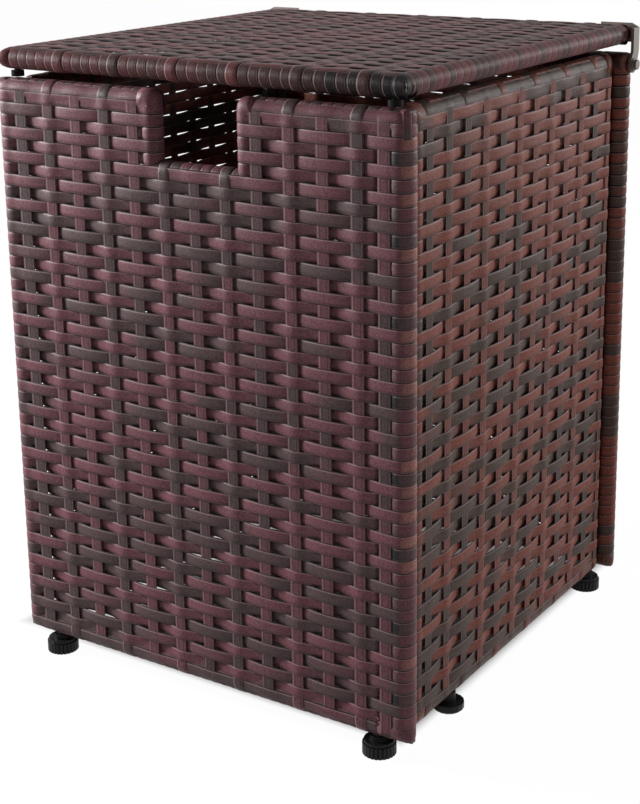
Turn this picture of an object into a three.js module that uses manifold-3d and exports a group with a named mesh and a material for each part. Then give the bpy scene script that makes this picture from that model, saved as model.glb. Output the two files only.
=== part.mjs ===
// Propane tank cover table: a woven box of four framed panels that stands over a gas bottle, with a hinged
// woven lid that serves as a small table top. Millimetres, +Z up, the origin on the ground under the middle.
import * as THREE from "three";
import { mergeVertices } from "three/addons/utils/BufferGeometryUtils.js";
import Module from "manifold-3d";

const wasm = await Module();
wasm.setup();

// The body and the lid
const BODY_WIDTH = 450;
const BODY_DEPTH = 460;
const BODY_HEIGHT = 564;
const FOOT_HEIGHT = 18;
const LID_GAP = 6;
const LID_INSET = 3;
const SIDE_RECESS = 9.5;
const FIT_GAP = 0.3;

// Steel tubes, and the flat plastic strand that is woven over them
const BODY_TUBE_RADIUS = 11;
const LID_TUBE_RADIUS = 9.5;
const TUBE_WALL = 1.2;
const STRAND_THICKNESS = 1.2;
const WEAVE_THICKNESS = 3.2;
const WEAVE_DROP = 0.4;
const LID_WEAVE_DROP = 1;
const CROSSBAR_RADIUS = 5.5;
const CROSSBAR_SPACING = 144;

// The notch in the top of the front panel, for the hose, is edged with a thinner tube
const NOTCH_WIDTH = 84;
const NOTCH_DEPTH = 63;
const NOTCH_OFFSET = 10;
const NOTCH_TUBE_RADIUS = 8.5;
const NOTCH_BEND = 6.5;
const NOTCH_TUBE_LAP = 12;

// Hinge at the rear top corners
const BRACKET_THICKNESS = 3;
const ARM_END_RADIUS = 8.5;
const ARM_WIDTH = 14;
const ARM_NECK_HEIGHT = 13;
const ARM_TOP_DROP = 4;
const FLANGE_LENGTH = 38;
const FLANGE_HEIGHT = 19;
const FLANGE_CHAMFER = 5;
const HINGE_BOLT_RADIUS = 3.5;
const HINGE_BOLT_LENGTH = 24;
const HINGE_HEAD_RADIUS = 5;
const HINGE_HEAD_HEIGHT = 3;
const WASHER_RADIUS = 6.5;
const WASHER_THICKNESS = 1;
const SCREW_RADIUS = 2.2;
const SCREW_LENGTH = 14;
const SCREW_HEAD_RADIUS = 3.8;
const SCREW_HEAD_HEIGHT = 2.4;
const SCREW_SPACING = 16;

// Bolts that hold the side panels to the front and rear panels
const PANEL_BOLT_RADIUS = 3;
const PANEL_BOLT_REACH = 7;
const PANEL_HEAD_RADIUS = 5;
const PANEL_HEAD_HEIGHT = 4;
const PANEL_BOLT_SHIFT = 4;
const PANEL_BOLT_MARGIN = 102;

// Rubber bumpers under the front of the lid
const BUMPER_RADIUS = 6;
const BUMPER_STEM_RADIUS = 3;
const BUMPER_STEM_HEIGHT = 7;
const BUMPER_INSET = 17;

// Levelling feet, and the plain glides under the side panels
const FOOT_INSET = 37;
const KNOB_RADIUS = 15.5;
const KNOB_RIB_DEPTH = 0.9;
const KNOB_SKIRT_HEIGHT = 10.5;
const KNOB_SHOULDER_RADIUS = 14.2;
const KNOB_SHOULDER_HEIGHT = 2.8;
const KNOB_NECK_RADIUS = 9;
const KNOB_BORE_FLOOR = 4;
const STUD_RADIUS = 4;
const STUD_REACH = 18;
const INSERT_RADIUS = 6;
const INSERT_FLANGE_RADIUS = 8;
const INSERT_FLANGE_THICKNESS = 1.2;
const INSERT_DEPTH = 13;
const GLIDE_RADIUS = 15;
const GLIDE_EDGE_RADIUS = 13;
const GLIDE_PAD_HEIGHT = 8;
const GLIDE_NECK_RADIUS = 7;
const GLIDE_STEM_RADIUS = 4;
const GLIDE_STEM_HEIGHT = 12;
const GLIDE_SETBACK = 113;

// Cuts run this much past the walls they go through
const OVERRUN = 2;

// Numbers of faces and of ribs
const TUBE_SIDES = 12;
const ROUND_SIDES = 16;
const SMALL_SIDES = 8;
const ARC_STEPS = 10;
const RIB_COUNT = 24;

// Places that several pieces share
const WRAP = FIT_GAP + STRAND_THICKNESS;
const BODY_RAIL_RADIUS = BODY_TUBE_RADIUS + WRAP;
const NOTCH_RAIL_RADIUS = NOTCH_TUBE_RADIUS + WRAP;
const LID_RAIL_RADIUS = LID_TUBE_RADIUS + WRAP;
const TOP_RIM_Z = FOOT_HEIGHT + BODY_HEIGHT;
const LOW_RAIL_Z = FOOT_HEIGHT + BODY_RAIL_RADIUS;
const TOP_RAIL_Z = TOP_RIM_Z - BODY_RAIL_RADIUS;
const POST_X = BODY_WIDTH / 2 - BODY_RAIL_RADIUS;
const PANEL_Y = BODY_DEPTH / 2 - BODY_RAIL_RADIUS;
const SIDE_X = POST_X - SIDE_RECESS;
const UPRIGHT_Y = PANEL_Y - 2 * BODY_RAIL_RADIUS - FIT_GAP;
const LID_UNDERSIDE_Z = TOP_RIM_Z + LID_GAP;
const LID_RAIL_Z = LID_UNDERSIDE_Z + LID_RAIL_RADIUS;
const LID_TOP_Z = LID_RAIL_Z + LID_RAIL_RADIUS;
const LID_HALF_WIDTH = BODY_WIDTH / 2 - LID_INSET;
const LID_HALF_DEPTH = BODY_DEPTH / 2 - LID_INSET;
const LID_RAIL_X = LID_HALF_WIDTH - LID_RAIL_RADIUS;
const LID_RAIL_Y = LID_HALF_DEPTH - LID_RAIL_RADIUS;
const LID_WEAVE_UNDERSIDE_Z = LID_TOP_Z - LID_WEAVE_DROP - WEAVE_THICKNESS;
const ARM_INNER_X = BODY_WIDTH / 2 + FIT_GAP;
const ARM_OUTER_X = ARM_INNER_X + BRACKET_THICKNESS;
const FLANGE_INNER_Y = LID_HALF_DEPTH + FIT_GAP;
const FLANGE_OUTER_Y = FLANGE_INNER_Y + BRACKET_THICKNESS;
const FRONT_FOOT_X = BODY_WIDTH / 2 - FOOT_INSET;
const GLIDE_Y = GLIDE_SETBACK - BODY_DEPTH / 2;
const PANEL_BOLT_X = SIDE_X + PANEL_BOLT_SHIFT;
const PANEL_BOLT_HEIGHTS = [FOOT_HEIGHT + PANEL_BOLT_MARGIN, TOP_RIM_Z - PANEL_BOLT_MARGIN];
const BUMPER_X = LID_HALF_WIDTH - BUMPER_INSET;
const REAR_REACH = FLANGE_OUTER_Y + FIT_GAP + SCREW_HEAD_HEIGHT;

const X_AXIS = new THREE.Vector3(1, 0, 0);
const Y_AXIS = new THREE.Vector3(0, 1, 0);
const Z_AXIS = new THREE.Vector3(0, 0, 1);

// Finishes
const STEEL_BROWN = { color: 0x6a5c53, roughness: 0.55, metalness: 0.3 };
const STRAND_BROWN = { color: 0x6b4a48, roughness: 0.6, metalness: 0 };
const BLACK_PLASTIC = { color: 0x1c1b1d, roughness: 0.5, metalness: 0 };
const ZINC = { color: 0x9a9890, roughness: 0.35, metalness: 0.9 };
const RUBBER = { color: 0x222222, roughness: 0.85, metalness: 0 };

const table = new THREE.Group();
// The screw heads at the back reach past the rear panel, so the model sits forward by half of what they add.
table.position.y = (BODY_DEPTH / 2 - REAR_REACH) / 2;

function solidOf(geometry) {
  const bare = geometry.clone();
  bare.deleteAttribute("normal");
  bare.deleteAttribute("uv");
  const merged = mergeVertices(bare, 1e-4);
  const mesh = new wasm.Mesh({
    numProp: 3,
    vertProperties: merged.attributes.position.array,
    triVerts: new Uint32Array(merged.index.array),
  });
  return new wasm.Manifold(mesh);
}

function geometryOf(solid) {
  const mesh = solid.getMesh();
  const points = new Float32Array(mesh.numVert * 3);
  for (let i = 0; i < mesh.numVert; i += 1) {
    const start = i * mesh.numProp;
    points.set(mesh.vertProperties.subarray(start, start + 3), i * 3);
  }
  const geometry = new THREE.BufferGeometry();
  geometry.setAttribute("position", new THREE.BufferAttribute(points, 3));
  geometry.setIndex(new THREE.BufferAttribute(new Uint32Array(mesh.triVerts), 1));
  geometry.computeVertexNormals();
  return geometry;
}

function addPiece(name, solid, finish, parent = table) {
  const mesh = new THREE.Mesh(geometryOf(solid), new THREE.MeshStandardMaterial(finish));
  mesh.name = name;
  parent.add(mesh);
}

function joinAll(solids) {
  return solids.reduce((whole, piece) => whole.add(piece));
}

function cutAll(solid, cutters) {
  return cutters.reduce((left, cutter) => left.subtract(cutter), solid);
}

// A round bar between two points, with flats of its polygon at the stated radius.
function bar(start, end, radius, sides = ROUND_SIDES) {
  const along = new THREE.Vector3().subVectors(end, start);
  const corner = radius / Math.cos(Math.PI / sides);
  const geometry = new THREE.CylinderGeometry(corner, corner, along.length(), sides);
  geometry.rotateY(Math.PI / sides);
  const turn = new THREE.Quaternion().setFromUnitVectors(Y_AXIS, along.clone().normalize());
  geometry.applyQuaternion(turn);
  const middle = new THREE.Vector3().addVectors(start, end).multiplyScalar(1 / 2);
  geometry.translate(middle.x, middle.y, middle.z);
  return solidOf(geometry);
}

function upright(x, y, lowZ, highZ, radius, sides) {
  return bar(new THREE.Vector3(x, y, lowZ), new THREE.Vector3(x, y, highZ), radius, sides);
}

function alongX(startX, endX, y, z, radius, sides) {
  return bar(new THREE.Vector3(startX, y, z), new THREE.Vector3(endX, y, z), radius, sides);
}

function alongY(x, startY, endY, z, radius, sides) {
  return bar(new THREE.Vector3(x, startY, z), new THREE.Vector3(x, endY, z), radius, sides);
}

// A round solid about an upright axis, from radius and height pairs that start and end on the axis.
function turned(profile, x, y, sides = ROUND_SIDES) {
  const points = profile.map(([radius, height]) => new THREE.Vector2(radius, height));
  const geometry = new THREE.LatheGeometry(points, sides);
  geometry.rotateX(Math.PI / 2);
  geometry.translate(x, y, 0);
  return solidOf(geometry);
}

// The path's points, with the two ends of an open path moved outwards along it.
function extended(path, reach) {
  const points = path.points.map((point) => point.clone());
  if (!path.closed) {
    const last = points.length - 1;
    const startDirection = new THREE.Vector3().subVectors(points[0], points[1]).normalize();
    const endDirection = new THREE.Vector3().subVectors(points[last], points[last - 1]).normalize();
    points[0].addScaledVector(startDirection, reach);
    points[last].addScaledVector(endDirection, reach);
  }
  return points;
}

// The direction across the path in its plane, at each point, lengthened so that the runs meet in a mitre.
function mitreVectors(points, closed, planeNormal) {
  const count = points.length;
  return points.map((point, i) => {
    const before = points[(i + count - 1) % count];
    const after = points[(i + 1) % count];
    const sideIn = new THREE.Vector3().subVectors(point, before).normalize().cross(planeNormal);
    const sideOut = new THREE.Vector3().subVectors(after, point).normalize().cross(planeNormal);
    if (!closed && i === 0) return sideOut;
    if (!closed && i === count - 1) return sideIn;
    return new THREE.Vector3().addVectors(sideIn, sideOut).divideScalar(1 + sideIn.dot(sideOut));
  });
}

function ringPositions(points, mitres, planeNormal, radius) {
  const cornerRadius = radius / Math.cos(Math.PI / TUBE_SIDES);
  return points.flatMap((centre, i) =>
    Array.from({ length: TUBE_SIDES }, (unused, k) => {
      const angle = ((k + 1 / 2) * 2 * Math.PI) / TUBE_SIDES;
      const point = centre.clone().addScaledVector(mitres[i], cornerRadius * Math.cos(angle));
      return point.addScaledVector(planeNormal, cornerRadius * Math.sin(angle)).toArray();
    }),
  );
}

function sideFaces(ring, nextRing) {
  const faces = [];
  for (let k = 0; k < TUBE_SIDES; k += 1) {
    const next = (k + 1) % TUBE_SIDES;
    const [a, b] = [ring * TUBE_SIDES + k, ring * TUBE_SIDES + next];
    const [c, d] = [nextRing * TUBE_SIDES + k, nextRing * TUBE_SIDES + next];
    faces.push(a, c, b, c, d, b);
  }
  return faces;
}

function capFaces(ring, facesForward) {
  const first = ring * TUBE_SIDES;
  const faces = [];
  for (let k = 1; k < TUBE_SIDES - 1; k += 1) {
    faces.push(first, first + k + (facesForward ? 1 : 0), first + k + (facesForward ? 0 : 1));
  }
  return faces;
}

// One round rod that follows a path of straight runs in a plane, mitred where the runs meet.
function pathRod(path, planeNormal, radius, reach) {
  const points = extended(path, reach);
  const mitres = mitreVectors(points, path.closed, planeNormal);
  const last = points.length - 1;
  const faces = [];
  for (let i = 0; i < last; i += 1) faces.push(...sideFaces(i, i + 1));
  faces.push(...(path.closed ? sideFaces(last, 0) : [...capFaces(0, false), ...capFaces(last, true)]));
  const geometry = new THREE.BufferGeometry();
  const positions = ringPositions(points, mitres, planeNormal, radius).flat();
  geometry.setAttribute("position", new THREE.Float32BufferAttribute(positions, 3));
  geometry.setIndex(faces);
  return solidOf(geometry);
}

// The flat woven field of a panel, as a plate between two distances from the plane of its rails.
function wovenField(panel, nearest, farthest) {
  const { field, normal, across, up } = panel;
  const shape = new THREE.Shape(field.map((point) => new THREE.Vector2(point.dot(across), point.dot(up))));
  const geometry = new THREE.ExtrudeGeometry(shape, { depth: farthest - nearest, bevelEnabled: false });
  geometry.applyMatrix4(new THREE.Matrix4().makeBasis(across, up, normal));
  const start = field[0].dot(normal) + nearest;
  geometry.translate(normal.x * start, normal.y * start, normal.z * start);
  return solidOf(geometry);
}

function rodsAlong(panel, addedRadius, reach) {
  return panel.paths.map((path) => pathRod(path, panel.normal, path.tubeRadius + addedRadius, reach));
}

// A panel's welded frame of hollow tube, with the holes that its fasteners need.
function frameSolid(panel, holes, bars = []) {
  const outside = joinAll([...rodsAlong(panel, 0, 0), ...bars]);
  return cutAll(outside, [...rodsAlong(panel, -TUBE_WALL, 0), ...holes]);
}

// A panel's woven skin: the flat field, and the wrapping round each tube of the frame inside it.
function skinSolid(panel, holes) {
  const farthest = panel.paths[0].tubeRadius + WRAP - panel.drop;
  const field = wovenField(panel, farthest - WEAVE_THICKNESS, farthest);
  const wrapped = joinAll([field, ...rodsAlong(panel, WRAP, WRAP)]);
  return cutAll(wrapped, [...rodsAlong(panel, FIT_GAP, FIT_GAP), ...holes]);
}

function frontPoints(places) {
  return places.map(([x, z]) => new THREE.Vector3(x, -PANEL_Y, z));
}

function notchEdges() {
  const reach = NOTCH_WIDTH / 2 + NOTCH_RAIL_RADIUS;
  return {
    left: NOTCH_OFFSET - reach,
    right: NOTCH_OFFSET + reach,
    top: TOP_RIM_Z - NOTCH_RAIL_RADIUS,
    floor: TOP_RIM_Z - NOTCH_DEPTH - NOTCH_RAIL_RADIUS,
  };
}

// The front frame's main tube starts and ends at the notch.
function frontPath() {
  const { left, right } = notchEdges();
  const places = [
    [right + NOTCH_BEND, TOP_RAIL_Z],
    [POST_X, TOP_RAIL_Z],
    [POST_X, LOW_RAIL_Z],
    [-POST_X, LOW_RAIL_Z],
    [-POST_X, TOP_RAIL_Z],
    [left - NOTCH_BEND, TOP_RAIL_Z],
  ];
  return { points: frontPoints(places), tubeRadius: BODY_TUBE_RADIUS, closed: false };
}

// The thinner tube goes down one side of the notch, across and up again, flush with the panel's face.
function notchPath() {
  const { left, right, top, floor } = notchEdges();
  const places = [
    [left - NOTCH_BEND - NOTCH_TUBE_LAP, top],
    [left - NOTCH_BEND, top],
    [left, top - NOTCH_BEND],
    [left, floor],
    [right, floor],
    [right, top - NOTCH_BEND],
    [right + NOTCH_BEND, top],
    [right + NOTCH_BEND + NOTCH_TUBE_LAP, top],
  ];
  const points = places.map(([x, z]) => new THREE.Vector3(x, NOTCH_RAIL_RADIUS - BODY_DEPTH / 2, z));
  return { points, tubeRadius: NOTCH_TUBE_RADIUS, closed: false };
}

function frontField() {
  const notch = notchPath().points.slice(1, -1).map((point) => [point.x, point.z]);
  return frontPoints([
    [POST_X, TOP_RAIL_Z],
    [POST_X, LOW_RAIL_Z],
    [-POST_X, LOW_RAIL_Z],
    [-POST_X, TOP_RAIL_Z],
    ...notch,
  ]);
}

function rearCorners() {
  const outline = [
    [POST_X, LOW_RAIL_Z],
    [-POST_X, LOW_RAIL_Z],
    [-POST_X, TOP_RAIL_Z],
    [POST_X, TOP_RAIL_Z],
  ];
  return outline.map(([x, z]) => new THREE.Vector3(x, PANEL_Y, z));
}

function sideCorners(side) {
  const outline = [
    [-side * UPRIGHT_Y, LOW_RAIL_Z],
    [side * UPRIGHT_Y, LOW_RAIL_Z],
    [side * UPRIGHT_Y, TOP_RAIL_Z],
    [-side * UPRIGHT_Y, TOP_RAIL_Z],
  ];
  return outline.map(([y, z]) => new THREE.Vector3(side * SIDE_X, y, z));
}

function lidCorners() {
  const outline = [
    [-LID_RAIL_X, -LID_RAIL_Y],
    [LID_RAIL_X, -LID_RAIL_Y],
    [LID_RAIL_X, LID_RAIL_Y],
    [-LID_RAIL_X, LID_RAIL_Y],
  ];
  return outline.map(([x, y]) => new THREE.Vector3(x, y, LID_RAIL_Z));
}

const SIDES = [
  { name: "left", sign: -1 },
  { name: "right", sign: 1 },
];
const ENDS = [
  { name: "front", sign: -1 },
  { name: "rear", sign: 1 },
];
const LEVELS = [
  { name: "low", z: PANEL_BOLT_HEIGHTS[0] },
  { name: "high", z: PANEL_BOLT_HEIGHTS[1] },
];

function loopPanel(corners, tubeRadius, drop, across, up) {
  const paths = [{ points: corners, tubeRadius, closed: true }];
  return { paths, field: corners, drop, across, up, normal: new THREE.Vector3().crossVectors(across, up) };
}

const PANELS = {
  front: {
    paths: [frontPath(), notchPath()],
    field: frontField(),
    drop: WEAVE_DROP,
    across: X_AXIS,
    up: Z_AXIS,
    normal: Y_AXIS.clone().negate(),
  },
  rear: loopPanel(rearCorners(), BODY_TUBE_RADIUS, WEAVE_DROP, X_AXIS.clone().negate(), Z_AXIS),
  left: loopPanel(sideCorners(-1), BODY_TUBE_RADIUS, WEAVE_DROP, Y_AXIS.clone().negate(), Z_AXIS),
  right: loopPanel(sideCorners(1), BODY_TUBE_RADIUS, WEAVE_DROP, Y_AXIS, Z_AXIS),
  lid: loopPanel(lidCorners(), LID_TUBE_RADIUS, LID_WEAVE_DROP, X_AXIS, Y_AXIS),
};

// Where the levelling feet stand: under the front panel, and under the rear ends of the side panels.
function footPlaces() {
  const places = [];
  SIDES.forEach((side) => {
    places.push({ name: `front_${side.name}`, panel: "front", x: side.sign * FRONT_FOOT_X, y: -PANEL_Y });
    places.push({ name: `rear_${side.name}`, panel: side.name, x: side.sign * SIDE_X, y: UPRIGHT_Y });
  });
  return places;
}

function footHoles(panelName) {
  const places = footPlaces().filter((place) => place.panel === panelName);
  return places.map((place) =>
    upright(place.x, place.y, FOOT_HEIGHT - OVERRUN, LOW_RAIL_Z, INSERT_RADIUS + FIT_GAP, SMALL_SIDES),
  );
}

function glideHole(side) {
  const radius = GLIDE_STEM_RADIUS + FIT_GAP;
  return upright(side.sign * SIDE_X, GLIDE_Y, FOOT_HEIGHT - OVERRUN, LOW_RAIL_Z, radius, SMALL_SIDES);
}

// The bolts run along Y from inside a side panel's upright into the post of the front or rear panel.
function panelBoltSpan(end) {
  const headSeat = end.sign * (UPRIGHT_Y - BODY_TUBE_RADIUS - FIT_GAP);
  const tip = end.sign * (PANEL_Y - BODY_TUBE_RADIUS + PANEL_BOLT_REACH);
  return { headSeat, tip };
}

function panelBoltHole(side, end, level) {
  const { headSeat, tip } = panelBoltSpan(end);
  const start = headSeat - end.sign * OVERRUN;
  const stop = tip + end.sign * OVERRUN;
  const x = side.sign * PANEL_BOLT_X;
  return alongY(x, start, stop, level.z, PANEL_BOLT_RADIUS + FIT_GAP, SMALL_SIDES);
}

// The bolt head lies on the tube, so the wrapping is cut away round it.
function panelHeadPocket(side, end, level) {
  const { headSeat } = panelBoltSpan(end);
  const x = side.sign * PANEL_BOLT_X;
  const start = headSeat - end.sign * (PANEL_HEAD_HEIGHT + OVERRUN);
  return alongY(x, start, headSeat + end.sign * FIT_GAP, level.z, PANEL_HEAD_RADIUS + FIT_GAP, SMALL_SIDES);
}

function endPanelHoles(end) {
  return SIDES.flatMap((side) => LEVELS.map((level) => panelBoltHole(side, end, level)));
}

function sidePanelHoles(side) {
  return ENDS.flatMap((end) => LEVELS.map((level) => panelBoltHole(side, end, level)));
}

function sidePanelPockets(side) {
  return ENDS.flatMap((end) => LEVELS.map((level) => panelHeadPocket(side, end, level)));
}

function hingeBoltSpan(side) {
  const headSeat = side.sign * (ARM_OUTER_X + 2 * FIT_GAP + WASHER_THICKNESS);
  const tip = headSeat - side.sign * HINGE_BOLT_LENGTH;
  return { headSeat, tip };
}

function hingeBoltHole(side) {
  const { headSeat, tip } = hingeBoltSpan(side);
  const stop = tip - side.sign * OVERRUN;
  return alongX(headSeat, stop, PANEL_Y, TOP_RAIL_Z, HINGE_BOLT_RADIUS + FIT_GAP, SMALL_SIDES);
}

function screwXs(side) {
  const middle = ARM_OUTER_X - BRACKET_THICKNESS - FLANGE_LENGTH / 2;
  return [middle - SCREW_SPACING / 2, middle + SCREW_SPACING / 2].map((x) => side.sign * x);
}

function screwSeatY() {
  return FLANGE_OUTER_Y + FIT_GAP;
}

function screwHoles() {
  const start = screwSeatY();
  const stop = start - SCREW_LENGTH - OVERRUN;
  const radius = SCREW_RADIUS + FIT_GAP;
  const places = SIDES.flatMap(screwXs);
  return places.map((x) => alongY(x, start, stop, LID_RAIL_Z, radius, SMALL_SIDES));
}

function bumperHole(side) {
  const top = LID_UNDERSIDE_Z + BUMPER_STEM_HEIGHT + OVERRUN;
  const bottom = LID_UNDERSIDE_Z - OVERRUN;
  return upright(side.sign * BUMPER_X, -LID_RAIL_Y, bottom, top, BUMPER_STEM_RADIUS + FIT_GAP, SMALL_SIDES);
}

function addBodyPanels() {
  const frontHoles = [...footHoles("front"), ...endPanelHoles(ENDS[0])];
  const rearHoles = [...endPanelHoles(ENDS[1]), ...SIDES.map(hingeBoltHole)];
  const holes = {
    front: { frame: frontHoles, skin: frontHoles },
    rear: { frame: rearHoles, skin: rearHoles },
  };
  SIDES.forEach((side) => {
    const frame = [...footHoles(side.name), glideHole(side), ...sidePanelHoles(side)];
    holes[side.name] = { frame, skin: [...frame, ...sidePanelPockets(side)] };
  });
  Object.entries(holes).forEach(([name, { frame, skin }]) => {
    addPiece(`${name}_frame`, frameSolid(PANELS[name], frame), STEEL_BROWN);
    addPiece(`${name}_weave`, skinSolid(PANELS[name], skin), STRAND_BROWN);
  });
}

function crossbars(radius) {
  const z = LID_WEAVE_UNDERSIDE_Z - FIT_GAP - CROSSBAR_RADIUS;
  return ENDS.map((end) => alongX(-LID_RAIL_X, LID_RAIL_X, (end.sign * CROSSBAR_SPACING) / 2, z, radius));
}

function addLid() {
  const holes = [...screwHoles(), ...SIDES.map(bumperHole)];
  addPiece("lid_frame", frameSolid(PANELS.lid, holes, crossbars(CROSSBAR_RADIUS)), STEEL_BROWN);
  const skinHoles = [...holes, ...crossbars(CROSSBAR_RADIUS + FIT_GAP)];
  addPiece("lid_weave", skinSolid(PANELS.lid, skinHoles), STRAND_BROWN);
}

// The bracket's arm lies flat beside the rear corner. Its lower end is round about the pivot, and its
// straight part runs up flush with the flange behind the lid.
function armSolid(side) {
  const frontY = FLANGE_OUTER_Y - ARM_WIDTH;
  const topZ = LID_TOP_Z - ARM_TOP_DROP;
  const shape = new THREE.Shape();
  shape.moveTo(FLANGE_OUTER_Y, TOP_RAIL_Z + ARM_NECK_HEIGHT);
  shape.lineTo(FLANGE_OUTER_Y, topZ);
  shape.lineTo(frontY, topZ);
  shape.lineTo(frontY, TOP_RAIL_Z + ARM_NECK_HEIGHT);
  for (let i = 0; i <= ARC_STEPS; i += 1) {
    const angle = (Math.PI * 3) / 4 + (((Math.PI * 5) / 4) * i) / ARC_STEPS;
    shape.lineTo(PANEL_Y + ARM_END_RADIUS * Math.cos(angle), TOP_RAIL_Z + ARM_END_RADIUS * Math.sin(angle));
  }
  const geometry = new THREE.ExtrudeGeometry(shape, { depth: BRACKET_THICKNESS, bevelEnabled: false });
  geometry.applyMatrix4(new THREE.Matrix4().makeBasis(Y_AXIS, Z_AXIS, X_AXIS));
  geometry.translate(side.sign > 0 ? ARM_INNER_X : -ARM_OUTER_X, 0, 0);
  return solidOf(geometry);
}

// The flange is screwed to the back of the lid. Its outer top corner is cut off down to the arm's top.
function flangeSolid(side) {
  const innerX = ARM_INNER_X - FLANGE_LENGTH;
  const outline = [
    [innerX, LID_TOP_Z - FLANGE_HEIGHT],
    [ARM_OUTER_X, LID_TOP_Z - FLANGE_HEIGHT],
    [ARM_OUTER_X, LID_TOP_Z - ARM_TOP_DROP],
    [ARM_OUTER_X - BRACKET_THICKNESS - FLANGE_CHAMFER, LID_TOP_Z],
    [innerX, LID_TOP_Z],
  ];
  const shape = new THREE.Shape(outline.map(([x, z]) => new THREE.Vector2(side.sign * x, z)));
  const geometry = new THREE.ExtrudeGeometry(shape, { depth: BRACKET_THICKNESS, bevelEnabled: false });
  geometry.applyMatrix4(new THREE.Matrix4().makeBasis(X_AXIS, Z_AXIS, Y_AXIS.clone().negate()));
  geometry.translate(0, FLANGE_OUTER_Y, 0);
  return solidOf(geometry);
}

function addHingeBracket(side) {
  const plate = armSolid(side).add(flangeSolid(side));
  addPiece(`hinge_bracket_${side.name}`, cutAll(plate, [hingeBoltHole(side), ...screwHoles()]), STEEL_BROWN);
}

function addHingeBolt(side) {
  const { headSeat, tip } = hingeBoltSpan(side);
  const headEnd = headSeat + side.sign * HINGE_HEAD_HEIGHT;
  const head = alongX(headSeat, headEnd, PANEL_Y, TOP_RAIL_Z, HINGE_HEAD_RADIUS);
  const shankStart = headEnd - side.sign * FIT_GAP;
  const shank = alongX(shankStart, tip, PANEL_Y, TOP_RAIL_Z, HINGE_BOLT_RADIUS, SMALL_SIDES);
  addPiece(`hinge_bolt_${side.name}`, head.add(shank), ZINC);
}

function addHingeWasher(side) {
  const start = side.sign * (ARM_OUTER_X + FIT_GAP);
  const end = start + side.sign * WASHER_THICKNESS;
  const disc = alongX(start, end, PANEL_Y, TOP_RAIL_Z, WASHER_RADIUS);
  addPiece(`hinge_washer_${side.name}`, disc.subtract(hingeBoltHole(side)), BLACK_PLASTIC);
}

function addBracketScrews(side) {
  const seat = screwSeatY();
  screwXs(side).forEach((x, i) => {
    const head = alongY(x, seat, seat + SCREW_HEAD_HEIGHT, LID_RAIL_Z, SCREW_HEAD_RADIUS, SMALL_SIDES);
    const shank = alongY(x, seat + FIT_GAP, seat - SCREW_LENGTH, LID_RAIL_Z, SCREW_RADIUS, SMALL_SIDES);
    addPiece(`bracket_screw_${side.name}_${["inner", "outer"][i]}`, head.add(shank), ZINC);
  });
}

function addBumper(side) {
  const x = side.sign * BUMPER_X;
  const low = TOP_RIM_Z + FIT_GAP;
  const seat = LID_UNDERSIDE_Z - FIT_GAP;
  const pad = upright(x, -LID_RAIL_Y, low, seat, BUMPER_RADIUS);
  const top = LID_UNDERSIDE_Z + BUMPER_STEM_HEIGHT;
  const stem = upright(x, -LID_RAIL_Y, seat - FIT_GAP, top, BUMPER_STEM_RADIUS, SMALL_SIDES);
  addPiece(`lid_bumper_${side.name}`, pad.add(stem), RUBBER);
}

function addPanelBolts(side, end) {
  const { headSeat, tip } = panelBoltSpan(end);
  const x = side.sign * PANEL_BOLT_X;
  const headEnd = headSeat - end.sign * PANEL_HEAD_HEIGHT;
  LEVELS.forEach((level) => {
    const head = alongY(x, headEnd, headSeat, level.z, PANEL_HEAD_RADIUS, SMALL_SIDES);
    const shank = alongY(x, headEnd + end.sign * FIT_GAP, tip, level.z, PANEL_BOLT_RADIUS, SMALL_SIDES);
    addPiece(`panel_bolt_${end.name}_${side.name}_${level.name}`, head.add(shank), ZINC);
  });
}

// The ribbed outline of a foot's skirt, seen from above.
function ribbedShape(x, y) {
  const points = [];
  for (let i = 0; i < RIB_COUNT; i += 1) {
    const step = (2 * Math.PI) / RIB_COUNT;
    const ribShares = [0, 0.6, 0.8];
    const depths = [0, 0, KNOB_RIB_DEPTH];
    ribShares.forEach((share, k) => {
      const angle = (i + share) * step;
      const radius = KNOB_RADIUS - depths[k];
      points.push(new THREE.Vector2(x + radius * Math.cos(angle), y + radius * Math.sin(angle)));
    });
  }
  return new THREE.Shape(points);
}

function knobTopZ() {
  return FOOT_HEIGHT - INSERT_FLANGE_THICKNESS - 2 * FIT_GAP;
}

function addFoot(place) {
  const { name, x, y } = place;
  const skirtSettings = { depth: KNOB_SKIRT_HEIGHT, bevelEnabled: false };
  const skirt = solidOf(new THREE.ExtrudeGeometry(ribbedShape(x, y), skirtSettings));
  const shoulderTop = KNOB_SKIRT_HEIGHT + KNOB_SHOULDER_HEIGHT;
  const profile = [
    [0, KNOB_SKIRT_HEIGHT / 2],
    [KNOB_SHOULDER_RADIUS, KNOB_SKIRT_HEIGHT / 2],
    [KNOB_SHOULDER_RADIUS, shoulderTop],
    [KNOB_NECK_RADIUS, shoulderTop],
    [KNOB_NECK_RADIUS, knobTopZ()],
    [0, knobTopZ()],
  ];
  const bore = upright(x, y, KNOB_BORE_FLOOR, knobTopZ() + OVERRUN, STUD_RADIUS + FIT_GAP);
  addPiece(`foot_knob_${name}`, skirt.add(turned(profile, x, y)).subtract(bore), BLACK_PLASTIC);
  const studTop = FOOT_HEIGHT + STUD_REACH;
  const stud = upright(x, y, KNOB_BORE_FLOOR + FIT_GAP, studTop, STUD_RADIUS);
  addPiece(`foot_stud_${name}`, stud, ZINC);
  const flangeTop = FOOT_HEIGHT - FIT_GAP;
  const flange = upright(x, y, flangeTop - INSERT_FLANGE_THICKNESS, flangeTop, INSERT_FLANGE_RADIUS);
  const barrel = upright(x, y, flangeTop - FIT_GAP, flangeTop + INSERT_DEPTH, INSERT_RADIUS, SMALL_SIDES);
  const thread = upright(x, y, FOOT_HEIGHT / 2, studTop, STUD_RADIUS + FIT_GAP);
  addPiece(`foot_insert_${name}`, flange.add(barrel).subtract(thread), BLACK_PLASTIC);
}

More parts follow.
